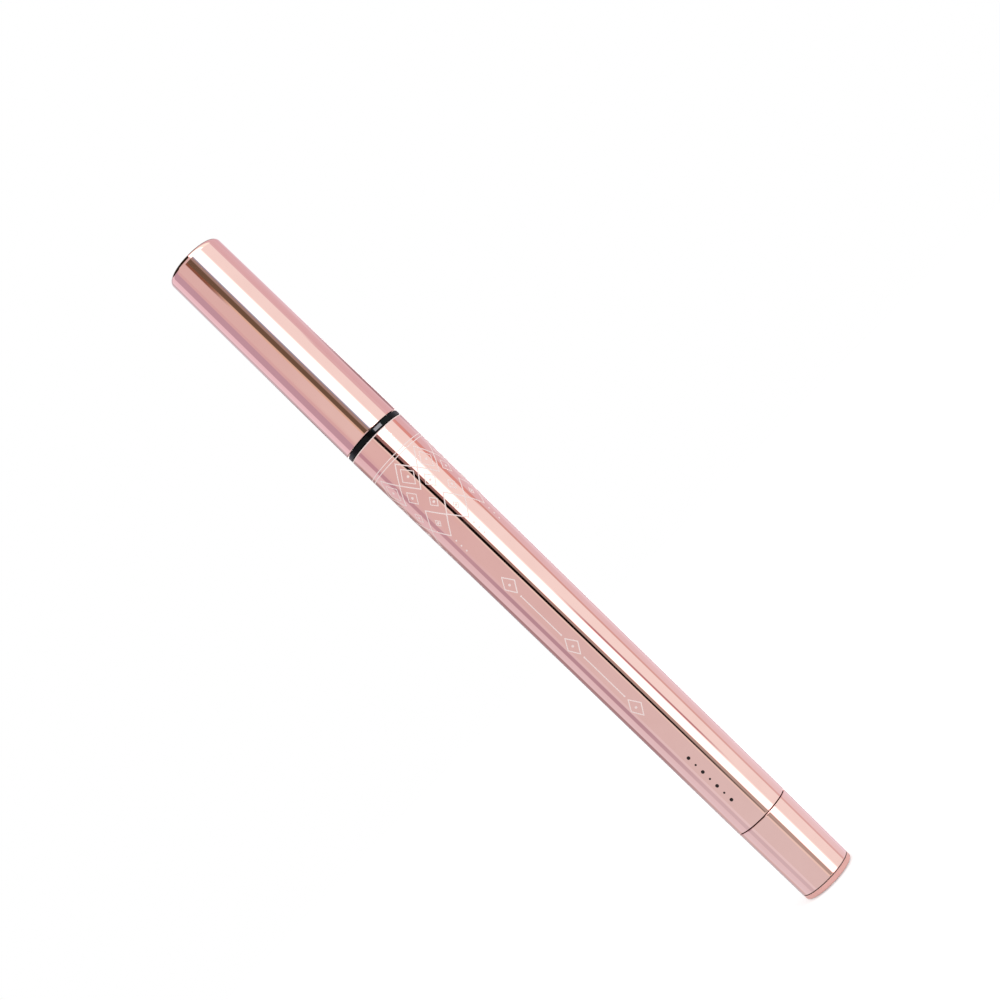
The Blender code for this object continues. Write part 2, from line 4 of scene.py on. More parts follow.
import bmesh
import bpy
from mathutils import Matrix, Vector


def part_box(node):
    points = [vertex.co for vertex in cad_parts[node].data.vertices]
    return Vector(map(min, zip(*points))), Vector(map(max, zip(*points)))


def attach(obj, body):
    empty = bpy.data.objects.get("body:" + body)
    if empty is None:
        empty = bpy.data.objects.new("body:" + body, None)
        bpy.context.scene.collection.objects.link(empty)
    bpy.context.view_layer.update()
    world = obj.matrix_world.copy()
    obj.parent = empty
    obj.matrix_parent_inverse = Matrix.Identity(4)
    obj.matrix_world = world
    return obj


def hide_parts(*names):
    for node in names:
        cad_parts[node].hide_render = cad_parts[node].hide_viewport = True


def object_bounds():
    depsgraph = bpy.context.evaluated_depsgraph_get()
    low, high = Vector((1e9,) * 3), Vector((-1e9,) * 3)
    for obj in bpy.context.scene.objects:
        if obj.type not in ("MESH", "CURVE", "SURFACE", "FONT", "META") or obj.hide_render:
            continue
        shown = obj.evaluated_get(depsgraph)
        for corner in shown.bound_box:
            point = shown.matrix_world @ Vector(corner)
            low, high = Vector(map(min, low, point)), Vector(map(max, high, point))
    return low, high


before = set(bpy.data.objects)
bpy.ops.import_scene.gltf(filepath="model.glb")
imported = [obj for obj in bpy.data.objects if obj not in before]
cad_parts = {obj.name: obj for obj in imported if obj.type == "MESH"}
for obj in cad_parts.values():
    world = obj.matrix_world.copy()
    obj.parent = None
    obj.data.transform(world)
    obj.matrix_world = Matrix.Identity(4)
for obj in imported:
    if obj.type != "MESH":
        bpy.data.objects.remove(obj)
cadLow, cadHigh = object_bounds()
print("frame loaded:", len(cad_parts), "nodes")

turning = {
    "segments": 192,        # round a shell
    "smallSegments": 96,    # round the smaller pieces
    "arcSteps": 5,          # on a rounded edge
    "hold": 0.00012,        # distance of the ring that keeps a side straight beside a rounded edge
    "holdShare": 0.12,      # the same, as a share of the side at most
    "shortest": 0.0003,     # side that gets such rings
    "cornerShare": 0.45,    # of a side that a rounded corner may take, at most
    "straight": 178,        # degrees, beyond which a corner isn't rounded
    "weld": 1e-7,
    "onAxis": 1e-9,         # radius that counts as none
    "sharpAngle": 40,
}


# Outlines: (radius, height, rounding) corners in, (radius, height) points out

def roundedCorner(before, corner, after, rounding):
    toBefore, toAfter = before - corner, after - corner
    opening = toBefore.angle(toAfter)
    if rounding <= 0 or opening > math.radians(turning["straight"]):
        return [corner]
    reach = rounding / math.tan(opening / 2)
    reach = min(reach, turning["cornerShare"] * toBefore.length, turning["cornerShare"] * toAfter.length)
    radius = reach * math.tan(opening / 2)
    bisector = (toBefore.normalized() + toAfter.normalized()).normalized()
    centre = corner + bisector * (radius / math.sin(opening / 2))
    first = corner + toBefore.normalized() * reach - centre
    last = corner + toAfter.normalized() * reach - centre
    turn = first.angle_signed(last)
    points = []
    for k in range(turning["arcSteps"] + 1):
        share = -turn * k / turning["arcSteps"]
        points.append(centre + Vector((
            first.x * math.cos(share) - first.y * math.sin(share),
            first.x * math.sin(share) + first.y * math.cos(share))))
    return points


def roundedOutline(corners):
    spots = [Vector(corner[:2]) for corner in corners]
    points = []
    for k, corner in enumerate(corners):
        points += roundedCorner(spots[k - 1], spots[k], spots[(k + 1) % len(spots)], corner[2])
    held = []
    for here, there in zip(points, points[1:] + points[:1]):
        # Rings close to a side's two ends keep it straight when it's shaded
        held.append(here)
        side = there - here
        if side.length > turning["shortest"]:
            step = side.normalized() * min(turning["hold"], turning["holdShare"] * side.length)
            held += [here + step, there - step]
    return held


def settle(name, shape, material, body, cadNodes=()):
    bmesh.ops.remove_doubles(shape, verts=shape.verts, dist=turning["weld"])
    bmesh.ops.recalc_face_normals(shape, faces=shape.faces)
    mesh = bpy.data.meshes.new(name)
    shape.to_mesh(mesh)
    shape.free()
    mesh.shade_smooth()
    mesh.set_sharp_from_angle(angle=math.radians(turning["sharpAngle"]))
    mesh.materials.append(material)
    piece = bpy.data.objects.new(name, mesh)
    bpy.context.scene.collection.objects.link(piece)
    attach(piece, body)
    if cadNodes:
        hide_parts(*cadNodes)
    return piece


def turnedShape(points, segments):
    # The sides that lie on the axis are left out, so that the solid closes there
    shape = bmesh.new()
    rings = [shape.verts.new((point.x, 0, point.y)) for point in points]
    sides = zip(rings, rings[1:] + rings[:1])
    edges = [shape.edges.new(side) for side in sides if max(side[0].co.x, side[1].co.x) > turning["onAxis"]]
    bmesh.ops.spin(
        shape, geom=rings + edges, axis=(0, 0, 1), angle=math.tau, steps=segments, use_merge=True)
    return shape


def wrapSides(shape, pairs):
    for lower, upper in pairs:
        for side in range(len(lower)):
            beyond = (side + 1) % len(lower)
            shape.faces.new((lower[side], lower[beyond], upper[beyond], upper[side]))


def turnedPiece(name, corners, material, body, cadNodes, segments=None):
    shape = turnedShape(roundedOutline(corners), segments or turning["segments"])
    return settle(name, shape, material, body, cadNodes)


def nodeSpan(name):
    low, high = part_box(name)
    return low.z, high.z, high.x


# Shader helpers

def feed(tree, socket, value):
    if isinstance(value, bpy.types.NodeSocket):
        tree.links.new(value, socket)
    elif value is not None:
        socket.default_value = value


def calc(tree, operation, *values, clamp=False):
    node = tree.nodes.new("ShaderNodeMath")
    node.operation = operation
    node.use_clamp = clamp
    for socket, value in zip(node.inputs, values):
        feed(tree, socket, value)
    return node.outputs[0]


def ramp(tree, value, low, high, start=0.0, end=1.0, kind="LINEAR"):
    node = tree.nodes.new("ShaderNodeMapRange")
    node.interpolation_type = kind
    labels = ("Value", "From Min", "From Max", "To Min", "To Max")
    for label, given in zip(labels, (value, low, high, start, end)):
        feed(tree, node.inputs[label], given)
    return node.outputs["Result"]


def blendColour(tree, factor, first, second, mode="MIX"):
    node = tree.nodes.new("ShaderNodeMix")
    node.data_type = "RGBA"
    node.blend_type = mode
    feed(tree, node.inputs["Factor"], factor)
    feed(tree, node.inputs[6], first)
    feed(tree, node.inputs[7], second)
    return node.outputs[2]


def noise(tree, coordinates, scale, detail=2.0, roughness=0.5):
    node = tree.nodes.new("ShaderNodeTexNoise")
    feed(tree, node.inputs["Vector"], coordinates)
    feed(tree, node.inputs["Scale"], scale)
    node.inputs["Detail"].default_value = detail
    node.inputs["Roughness"].default_value = roughness
    return node.outputs["Fac"]


def stretched(tree, coordinates, scale):
    node = tree.nodes.new("ShaderNodeMapping")
    node.inputs["Scale"].default_value = scale
    tree.links.new(coordinates, node.inputs["Vector"])
    return node.outputs["Vector"]


def newGroup(name, inputs, outputs):
    group = bpy.data.node_groups.new(name, "ShaderNodeTree")
    for label, kind, value in inputs:
        socket = group.interface.new_socket(name=label, in_out="INPUT", socket_type=kind)
        if value is not None:
            socket.default_value = value
    for label, kind in outputs:
        group.interface.new_socket(name=label, in_out="OUTPUT", socket_type=kind)
    return group, group.nodes.new("NodeGroupInput").outputs, group.nodes.new("NodeGroupOutput").inputs


def place(tree, group, **values):
    node = tree.nodes.new("ShaderNodeGroup")
    node.node_tree = group
    for label, value in values.items():
        feed(tree, node.inputs[label], value)
    return node.outputs


def rgba(colour):
    return (*colour, 1.0)


# Shared effects

polish = {
    "cloudScale": 180.0, "cloudDetail": 3.0, "cloudRoughness": 0.55, "cloudFrom": 0.35, "cloudTo": 0.75,
    "lineStretch": (60.0, 60.0, 2600.0), "lineDetail": 2.0, "lineRoughness": 0.6,
    "lineFrom": 0.45, "lineTo": 0.8,
    "waveStretch": (420.0, 420.0, 90.0), "waveDetail": 1.0, "waveRoughness": 0.4,
}


def makePolishGroup():
    # Faint cloudiness, fine lines round the axis and a slow waviness, as on a polished and lacquered tube
    group, given, out = newGroup(
        "polish",
        [("Colour", "NodeSocketColor", rgba((0.8, 0.8, 0.8))),
         ("Deep Colour", "NodeSocketColor", rgba((0.7, 0.7, 0.7))),
         ("Roughness", "NodeSocketFloat", 0.05), ("Line Roughness", "NodeSocketFloat", 0.02),
         ("Waviness", "NodeSocketFloat", 1.0)],
        [("Colour", "NodeSocketColor"), ("Roughness", "NodeSocketFloat"), ("Height", "NodeSocketFloat")])
    spot = group.nodes.new("ShaderNodeTexCoord").outputs["Object"]
    cloud = noise(group, spot, polish["cloudScale"], polish["cloudDetail"], polish["cloudRoughness"])
    lineSpot = stretched(group, spot, polish["lineStretch"])
    lines = noise(group, lineSpot, 1.0, polish["lineDetail"], polish["lineRoughness"])
    waveSpot = stretched(group, spot, polish["waveStretch"])
    swell = noise(group, waveSpot, 1.0, polish["waveDetail"], polish["waveRoughness"])
    clouded = ramp(group, cloud, polish["cloudFrom"], polish["cloudTo"])
    group.links.new(blendColour(group, clouded, given["Colour"], given["Deep Colour"]), out["Colour"])
    lined = ramp(group, lines, polish["lineFrom"], polish["lineTo"])
    rougher = calc(group, "MULTIPLY", lined, given["Line Roughness"])
    group.links.new(calc(group, "ADD", given["Roughness"], rougher), out["Roughness"])
    group.links.new(calc(group, "MULTIPLY", swell, given["Waviness"]), out["Height"])
    return group


mould = {
    "driftScale": 260.0, "driftDetail": 3.0, "driftRoughness": 0.55, "driftFrom": 0.35, "driftTo": 0.7,
    "grainDetail": 2.0, "grainFrom": 0.3, "grainTo": 0.7, "smoothest": 0.9, "roughest": 1.15,
}


def makeMouldGroup():
    # Fine spark-eroded grain and a slow tone drift, as on a moulded plastic part
    group, given, out = newGroup(
        "mouldedGrain",
        [("Colour", "NodeSocketColor", rgba((0.8, 0.8, 0.8))),
         ("Dull Colour", "NodeSocketColor", rgba((0.7, 0.7, 0.7))),
         ("Roughness", "NodeSocketFloat", 0.4), ("Grain Scale", "NodeSocketFloat", 6000.0),
         ("Grain", "NodeSocketFloat", 1.0)],
        [("Colour", "NodeSocketColor"), ("Roughness", "NodeSocketFloat"), ("Height", "NodeSocketFloat")])
    spot = group.nodes.new("ShaderNodeTexCoord").outputs["Object"]
    drift = noise(group, spot, mould["driftScale"], mould["driftDetail"], mould["driftRoughness"])
    drifted = ramp(group, drift, mould["driftFrom"], mould["driftTo"])
    group.links.new(blendColour(group, drifted, given["Colour"], given["Dull Colour"]), out["Colour"])
    grain = noise(group, spot, given["Grain Scale"], mould["grainDetail"])
    share = ramp(group, grain, mould["grainFrom"], mould["grainTo"], mould["smoothest"], mould["roughest"])
    group.links.new(calc(group, "MULTIPLY", given["Roughness"], share), out["Roughness"])
    group.links.new(calc(group, "MULTIPLY", grain, given["Grain"]), out["Height"])
    return group


polishGroup = makePolishGroup()
mouldGroup = makeMouldGroup()


# Materials

def newMaterial(name):
    material = bpy.data.materials.new(name)
    material.use_nodes = True
    return material, material.node_tree, material.node_tree.nodes["Principled BSDF"]


def bumped(tree, shader, height, strength, distance):
    bump = tree.nodes.new("ShaderNodeBump")
    bump.inputs["Strength"].default_value = strength
    bump.inputs["Distance"].default_value = distance
    tree.links.new(height, bump.inputs["Height"])
    tree.links.new(bump.outputs["Normal"], shader.inputs["Normal"])


def polishedMetal(name, look):
    material, tree, shader = newMaterial(name)
    made = place(tree, polishGroup, **{
        "Colour": rgba(look["colour"]), "Deep Colour": rgba(look["deepColour"]),
        "Roughness": look["roughness"], "Line Roughness": look["lineRoughness"], "Waviness": 1.0})
    tree.links.new(made["Colour"], shader.inputs["Base Color"])
    tree.links.new(made["Roughness"], shader.inputs["Roughness"])
    shader.inputs["Metallic"].default_value = 1.0
    bumped(tree, shader, made["Height"], look["bump"], look["bumpDepth"])
    return material


def mouldedPlastic(name, look):
    material, tree, shader = newMaterial(name)
    made = place(tree, mouldGroup, **{
        "Colour": rgba(look["colour"]), "Dull Colour": rgba(look["dullColour"]),
        "Roughness": look["roughness"], "Grain Scale": look["grainScale"], "Grain": 1.0})
    tree.links.new(made["Colour"], shader.inputs["Base Color"])
    tree.links.new(made["Roughness"], shader.inputs["Roughness"])
    shader.inputs["Specular IOR Level"].default_value = look.get("gloss", 0.5)
    shader.inputs["Coat Weight"].default_value = look.get("coat", 0.0)
    shader.inputs["Coat Roughness"].default_value = look.get("coatRoughness", 0.05)
    shader.inputs["Subsurface Weight"].default_value = look.get("glow", 0.0)
    shader.inputs["Subsurface Scale"].default_value = look.get("glowDepth", 0.0005)
    bumped(tree, shader, made["Height"], look["bump"], look["bumpDepth"])
    return material


roseGold = polishedMetal("roseGold", {
    "colour": (0.740, 0.418, 0.380), "deepColour": (0.720, 0.400, 0.362),
    "roughness": 0.030, "lineRoughness": 0.020, "bump": 0.10, "bumpDepth": 0.00001})
brightSteel = polishedMetal("brightSteel", {
    "colour": (0.62, 0.62, 0.63), "deepColour": (0.57, 0.57, 0.58),
    "roughness": 0.14, "lineRoughness": 0.10, "bump": 0.10, "bumpDepth": 0.00001})
pinkSatin = mouldedPlastic("pinkSatin", {
    "colour": (0.90, 0.51, 0.47), "dullColour": (0.87, 0.48, 0.44), "roughness": 0.38,
    "grainScale": 9000.0, "bump": 0.15, "bumpDepth": 0.00001, "gloss": 0.04})
blackGloss = mouldedPlastic("blackGloss", {
    "colour": (0.002, 0.002, 0.0025), "dullColour": (0.003, 0.003, 0.0035), "roughness": 0.03,
    "grainScale": 2500.0, "bump": 0.02, "bumpDepth": 0.00001, "gloss": 0.10})
nozzleGloss = mouldedPlastic("nozzleGloss", {
    "colour": (0.004, 0.004, 0.0045), "dullColour": (0.006, 0.006, 0.0065), "roughness": 0.07,
    "grainScale": 2500.0, "bump": 0.02, "bumpDepth": 0.00001, "gloss": 0.28})
milkyPlastic = mouldedPlastic("milkyPlastic", {
    "colour": (0.76, 0.76, 0.73), "dullColour": (0.71, 0.71, 0.68), "roughness": 0.32,
    "grainScale": 5000.0, "bump": 0.10, "bumpDepth": 0.00001, "glow": 0.35, "glowDepth": 0.0006})
whitePlastic = mouldedPlastic("whitePlastic", {
    "colour": (0.80, 0.80, 0.78), "dullColour": (0.76, 0.76, 0.74), "roughness": 0.35,
    "grainScale": 5000.0, "bump": 0.10, "bumpDepth": 0.00001})
greySeal = mouldedPlastic("greySeal", {
    "colour": (0.52, 0.52, 0.51), "dullColour": (0.46, 0.46, 0.45), "roughness": 0.6,
    "grainScale": 8000.0, "bump": 0.20, "bumpDepth": 0.00001})
blackRubber = mouldedPlastic("blackRubber", {
    "colour": (0.018, 0.018, 0.018), "dullColour": (0.026, 0.026, 0.025), "roughness": 0.55,
    "grainScale": 8000.0, "bump": 0.20, "bumpDepth": 0.00001})
# Near-black and dark grey for the rings in the seams: painted shade in the gaps between the shells
seamShadeBlack = mouldedPlastic("seamShadeBlack", {
    "colour": (0.010, 0.010, 0.008), "dullColour": (0.014, 0.014, 0.011), "roughness": 0.8,
    "grainScale": 8000.0, "bump": 0.10, "bumpDepth": 0.00001, "gloss": 0.0})
seamShadeGrey = mouldedPlastic("seamShadeGrey", {
    "colour": (0.12, 0.09, 0.08), "dullColour": (0.14, 0.11, 0.10), "roughness": 0.8,
    "grainScale": 8000.0, "bump": 0.10, "bumpDepth": 0.00001, "gloss": 0.0})
wetBristle = mouldedPlastic("wetBristle", {
    "colour": (0.012, 0.010, 0.010), "dullColour": (0.022, 0.018, 0.016), "roughness": 0.32,
    "grainScale": 3000.0, "bump": 0.05, "bumpDepth": 0.00001, "coat": 0.4, "coatRoughness": 0.15})
# Pale cut edge of the barrel's front lip, brightened into a painted highlight of the edge
cutEdgeGlint = mouldedPlastic("cutEdgeGlint", {
    "colour": (0.95, 0.76, 0.73), "dullColour": (0.92, 0.72, 0.69), "roughness": 0.5,
    "grainScale": 12000.0, "bump": 0.10, "bumpDepth": 0.000004, "gloss": 0.05})
paleInk = mouldedPlastic("paleInk", {
    "colour": (0.98, 0.82, 0.80), "dullColour": (0.96, 0.79, 0.77), "roughness": 0.6,
    "grainScale": 12000.0, "bump": 0.10, "bumpDepth": 0.000004, "gloss": 0.05})
darkInk = mouldedPlastic("darkInk", {
    "colour": (0.020, 0.016, 0.016), "dullColour": (0.032, 0.026, 0.026), "roughness": 0.45,
    "grainScale": 12000.0, "bump": 0.10, "bumpDepth": 0.000004, "gloss": 0.05})
print("materials made")

innerFinishes = {
    "knob_core": whitePlastic, "drive_sleeve": milkyPlastic, "bearing_bush": milkyPlastic,
    "knob_o_ring": blackRubber, "click_pawl": whitePlastic, "ratchet_ring": milkyPlastic,
    "mechanism_housing": whitePlastic, "screw_nut": whitePlastic, "screw_rod": whitePlastic,
    "piston": greySeal, "mixing_ball": brightSteel, "reservoir_tube": milkyPlastic,
    "pipe_holder": milkyPlastic, "feed_pipe": brightSteel, "neck_o_ring": blackRubber,
    "brush_retainer": milkyPlastic, "cap_seal": greySeal, "cap_liner": milkyPlastic,
}
for nodeName, finish in innerFinishes.items():
    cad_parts[nodeName].data.materials.clear()
    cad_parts[nodeName].data.materials.append(finish)


# Polished shells

shell = {
    "wall": 0.0007,
    "edge": 0.00010,        # rounding of the barrel's and the knob's ends
}

barrel = {
    "rearRadius": 0.00489,
    "hollow": 0.00005,      # how far its side lies inside a straight taper, half-way along
    "lip": 0.00017,         # length of the pale cut edge at the front, a painted highlight along the edge
    "sideRings": 12,
}
barrelLow, barrelHigh, barrelFront = nodeSpan("barrel_shell")


def barrelRadius(height):
    share = (height - barrelLow) / (barrelHigh - barrelLow)
    straight = barrel["rearRadius"] + (barrelFront - barrel["rearRadius"]) * share
    return straight - 4 * barrel["hollow"] * share * (1 - share)


def makeBarrelShell():
    bore = barrel["rearRadius"] - shell["wall"]
    lipLow = barrelHigh - barrel["lip"]
    corners = [(bore, barrelLow, 0), (barrelRadius(barrelLow), barrelLow, shell["edge"])]
    for k in range(1, barrel["sideRings"]):
        height = barrelLow + (lipLow - barrelLow) * k / barrel["sideRings"]
        corners.append((barrelRadius(height), height, 0))
    corners += [(barrelRadius(lipLow), lipLow, 0), (bore, lipLow, 0)]
    turnedPiece("barrelShell", corners, roseGold, "barrel", ["barrel_shell"])
    # The lip is pale: painted highlight on the barrel's front edge
    lip = [
        (bore, lipLow, 0), (barrelRadius(lipLow), lipLow, 0), (barrelFront, barrelHigh, shell["edge"]),
        (bore, barrelHigh, 0)]
    turnedPiece("barrelLip", lip, cutEdgeGlint, "barrel", [])


knob = {"tailRadius": 0.004755}


def makeKnobShell():
    low, high, front = nodeSpan("knob_shell")
    tail = knob["tailRadius"]
    wall, edge = shell["wall"], shell["edge"]
    corners = [(tail, low, edge), (front, high, edge), (front - wall, high, 0), (tail - wall, low, 0)]
    turnedPiece("knobShell", corners, roseGold, "knob", ["knob_shell"])


cap = {
    "topRadius": 0.00499,
    "mouthEdge": 0.00004,
    "shoulderReach": 0.0008,    # rounding of the closed end, across the axis
    "shoulderDrop": 0.0008,     # and along it
    "shoulderRings": 14,
    "endWall": 0.0010,
}


def makeCapShell():
    low, high, mouth = nodeSpan("cap_shell")
    shoulder = high - cap["shoulderDrop"]
    top = mouth + (cap["topRadius"] - mouth) * (shoulder - low) / (high - low)
    insideTop = high - cap["endWall"]
    outsideRadius = mouth + (cap["topRadius"] - mouth) * (insideTop - low) / (high - low)
    insideRadius = outsideRadius - shell["wall"]
    corners = [(mouth - shell["wall"], low, 0), (mouth, low, cap["mouthEdge"])]
    for k in range(cap["shoulderRings"] + 1):
        angle = math.pi / 2 * k / cap["shoulderRings"]
        radius = top - cap["shoulderReach"] * (1 - math.cos(angle))
        corners.append((radius, shoulder + cap["shoulderDrop"] * math.sin(angle), 0))
    corners += [(0, high, 0), (0, insideTop, 0), (insideRadius, insideTop, 0)]
    turnedPiece("capShell", corners, roseGold, "cap", ["cap_shell"])


makeBarrelShell()
makeKnobShell()
makeCapShell()
print("shells made")


# Tail disc

tailDisc = {
    "thickness": 0.0011,
    "straightEdge": 0.00065,
    "shoulderReach": 0.0018,
    "edge": 0.00005,
    "stemRadius": 0.002755,
    "stemEdge": 0.0001,
    "shoulderRings": 14,
}


def makeTailDisc():
    low, high, radius = nodeSpan("end_disc")
    rim = tailDisc["thickness"] - tailDisc["straightEdge"]
    corners = [(0, low, 0)]
    for k in range(tailDisc["shoulderRings"] + 1):
        angle = math.pi / 2 * (k / tailDisc["shoulderRings"] - 1)
        across = radius - tailDisc["shoulderReach"] * (1 - math.cos(angle))
        corners.append((across, low + rim * (1 + math.sin(angle)), 0))
    corners += [
        (radius, low + tailDisc["thickness"], tailDisc["edge"]),
        (tailDisc["stemRadius"], low + tailDisc["thickness"], 0),
        (tailDisc["stemRadius"], high, tailDisc["stemEdge"]), (0, high, 0)]
    turnedPiece("tailDisc", corners, pinkSatin, "knob", ["end_disc"])


makeTailDisc()

# Dark rings just inside the seams before and behind the knob: painted shade that darkens the seam gaps

seams = [
    {"name": "frontSeamShade", "lowNode": "knob_shell", "highNode": "barrel_shell", "body": "barrel",
     "material": seamShadeBlack},
    {"name": "rearSeamShade", "lowNode": "end_disc", "highNode": "knob_shell", "body": "knob",
     "material": seamShadeGrey},
]
seamShade = {
    "clear": 0.00001,       # between the dark ring and the pieces on its two sides
    "frontUnder": 0.00024,  # how far the dark ring lies below the barrel's side
    "rearUnder": 0.00008,   # how far the dark ring lies below the knob's side
    "depth": 0.0003,
}


def makeSeamShade(seam):
    gapHigh = nodeSpan(seam["highNode"])[0]
    if seam["lowNode"] == "end_disc":
        gapLow = nodeSpan("end_disc")[0] + tailDisc["thickness"]
        outer = knob["tailRadius"] - seamShade["rearUnder"]
    else:
        gapLow = nodeSpan(seam["lowNode"])[1]
        outer = barrel["rearRadius"] - seamShade["frontUnder"]
    low, high = gapLow + seamShade["clear"], gapHigh - seamShade["clear"]
    inner = outer - seamShade["depth"]
    corners = [(inner, low, 0), (outer, low, 0), (outer, high, 0), (inner, high, 0)]
    turnedPiece(seam["name"], corners, seam["material"], seam["body"], [])


for seam in seams:
    makeSeamShade(seam)
print("tail made")


# Black front collar, nozzle and brush

collar = {
    "plugRadius": 0.00314,
    "plugBore": 0.00214,
    "grooveFloor": 0.00258,
    "grooveLow": 0.002445,      # above the plug's rear face
    "grooveHigh": 0.003155,
    "bandLow": 0.00765,
    "bandHigh": 0.00845,
    "neckRadius": 0.003293,
    "beadRadius": 0.003413,
    "beadLow": 0.01095,
    "beadHigh": 0.01195,
    "frontBore": 0.00217,
    "webHigh": 0.00965,
    "webLow": 0.00815,
    "pipeHole": 0.0006,
    "edge": 0.00008,
    "mouthEdge": 0.00016,
}


def makeCollar():
    low, high, band = nodeSpan("neck_collar")
    size = collar
    edge = size["edge"]
    rise = size["beadRadius"] - size["neckRadius"]
    corners = [
        (size["plugBore"], low, 0), (size["plugRadius"], low, edge),
        (size["plugRadius"], low + size["grooveLow"], 0), (size["grooveFloor"], low + size["grooveLow"], 0),
        (size["grooveFloor"], low + size["grooveHigh"], 0), (size["plugRadius"], low + size["grooveHigh"], 0),
        (size["plugRadius"], low + size["bandLow"], 0), (band, low + size["bandLow"], edge),
        (band, low + size["bandHigh"], edge), (size["neckRadius"], low + size["bandHigh"], edge),
        (size["neckRadius"], low + size["beadLow"], edge),
        (size["beadRadius"], low + size["beadLow"] + rise, edge),
        (size["beadRadius"], low + size["beadHigh"] - rise, edge),
        (size["neckRadius"], low + size["beadHigh"], edge), (size["neckRadius"], high, size["mouthEdge"]),
        (size["frontBore"], high, 0),
        (size["frontBore"], low + size["webHigh"], 0), (size["pipeHole"], low + size["webHigh"], 0),
        (size["pipeHole"], low + size["webLow"], 0), (size["plugBore"], low + size["webLow"], 0)]
    piece = turnedPiece("frontCollar", corners, blackGloss, "barrel", ["neck_collar"])
    piece.data.materials.append(nozzleGloss)
    for face in piece.data.polygons:
        if face.center.z > low + size["bandHigh"] + edge:
            face.material_index = 1


nozzle = {
    "plugRadius": 0.00202,
    "flangeLow": 0.00665,       # above the plug's rear face
    "flangeHigh": 0.00735,
    "baseRadius": 0.00245,
    "tipRadius": 0.00165,
    "bore": 0.0012,
    "seatBore": 0.00145,
    "seatDepth": 0.0065,        # behind the tip
    "edge": 0.00008,
    "flangeEdge": 0.00016,
    "rootEdge": 0.00024,        # where the cone stands on the flange
    "tipEdge": 0.0002,
}


def makeNozzle():
    low, high, flange = nodeSpan("nozzle_cone")
    size = nozzle
    edge = size["edge"]
    corners = [
        (size["seatBore"], low, 0), (size["plugRadius"], low, edge),
        (size["plugRadius"], low + size["flangeLow"], 0), (flange, low + size["flangeLow"], edge),
        (flange, low + size["flangeHigh"], size["flangeEdge"]),
        (size["baseRadius"], low + size["flangeHigh"], size["rootEdge"]),
        (size["tipRadius"], high, size["tipEdge"]),
        (size["bore"], high, 0), (size["bore"], high - size["seatDepth"], 0),
        (size["seatBore"], high - size["seatDepth"], 0)]
    turnedPiece("nozzleCone", corners, nozzleGloss, "barrel", ["nozzle_cone"],
                turning["smallSegments"])


brush = {
    "strands": 280,
    "sides": 5,
    "rings": 10,
    "radius": 0.00104,          # of the bundle
    "strandRadius": 0.000052,
    "strandTip": 0.000008,
    "tipRadius": 0.00005,       # of the bundle at its point
    "fullness": 1.7,
    "standOut": 0.0090,         # beyond the nozzle
    "root": 0.0012,             # inside the nozzle
    "shorter": 0.30,            # how much shorter the outer strands are
    "ragged": 0.05,
    "core": 0.80,               # solid heart, as a share of the bundle
    "coreReach": 0.92,          # of the way to the point
    "swirl": 0.06,              # how far the strands wander round the bundle towards the point
    "swirlTurns": 7.0,
    "swirlRise": 5.0,
    "taper": 3,                 # power by which a strand thins towards its tip
    "raggedStep": 12.9,         # from strand to strand, in the ragged cut
    "flange": 0.0008,
    "flangeEdge": 0.0001,
}


def bundleRadius(share):
    return brush["radius"] - (brush["radius"] - brush["tipRadius"]) * share ** brush["fullness"]


def strandMiddle(rho, around, height):
    share = max(height, 0.0) / brush["standOut"]
    across = rho * bundleRadius(share)
    swirl = brush["swirl"] * math.sin(brush["swirlTurns"] * around + brush["swirlRise"] * share) * share
    return Vector((across * math.cos(around + swirl), across * math.sin(around + swirl), height))


def makeBrush():
    coneTip = nodeSpan("brush_tuft")[1] - brush["standOut"]
    golden = math.pi * (3 - math.sqrt(5))       # spreads the strands evenly
    shape = bmesh.new()
    for k in range(brush["strands"]):
        rho = math.sqrt((k + 0.5) / brush["strands"])
        around = k * golden
        uneven = 0.5 + 0.5 * math.sin(brush["raggedStep"] * k)
        cut = 1 - brush["shorter"] * rho ** 2 - brush["ragged"] * uneven
        length = brush["standOut"] * cut
        loops = []
        for ring in range(brush["rings"] + 1):
            share = ring / brush["rings"]
            height = -brush["root"] + (length + brush["root"]) * share
            middle = strandMiddle(rho, around, height)
            thinning = 1 - share ** brush["taper"]
            thick = brush["strandTip"] + (brush["strandRadius"] - brush["strandTip"]) * thinning
            loop = []
            for side in range(brush["sides"]):
                angle = math.tau * side / brush["sides"] + k
                offset = Vector((thick * math.cos(angle), thick * math.sin(angle), coneTip))
                loop.append(shape.verts.new(middle + offset))
            loops.append(loop)
        wrapSides(shape, zip(loops, loops[1:]))
        shape.faces.new(loops[0][::-1])
        shape.faces.new(loops[-1])
    settle("brushBristles", shape, wetBristle, "barrel", ["brush_tuft"])


def makeBrushHeart():
    low, high, flange = nodeSpan("brush_tuft")
    coneTip = high - brush["standOut"]
    corners = [
        (0, low, 0), (flange, low, 0), (flange, low + brush["flange"], brush["flangeEdge"]),
        (brush["radius"], low + brush["flange"], 0)]
    for k in range(brush["rings"] + 1):
        share = brush["coreReach"] * k / brush["rings"]
        corners.append((brush["core"] * bundleRadius(share), coneTip + brush["standOut"] * share, 0))
    corners.append((0, coneTip + brush["standOut"] * brush["coreReach"], 0))
    turnedPiece("brushHeart", corners, wetBristle, "barrel", [], turning["smallSegments"])


makeCollar()
makeNozzle()
makeBrush()
makeBrushHeart()
print("collar, nozzle and brush made")


# Print on the barrel: a trellis of lozenges in pale ink, a ruled ornament and a short dark row of dots

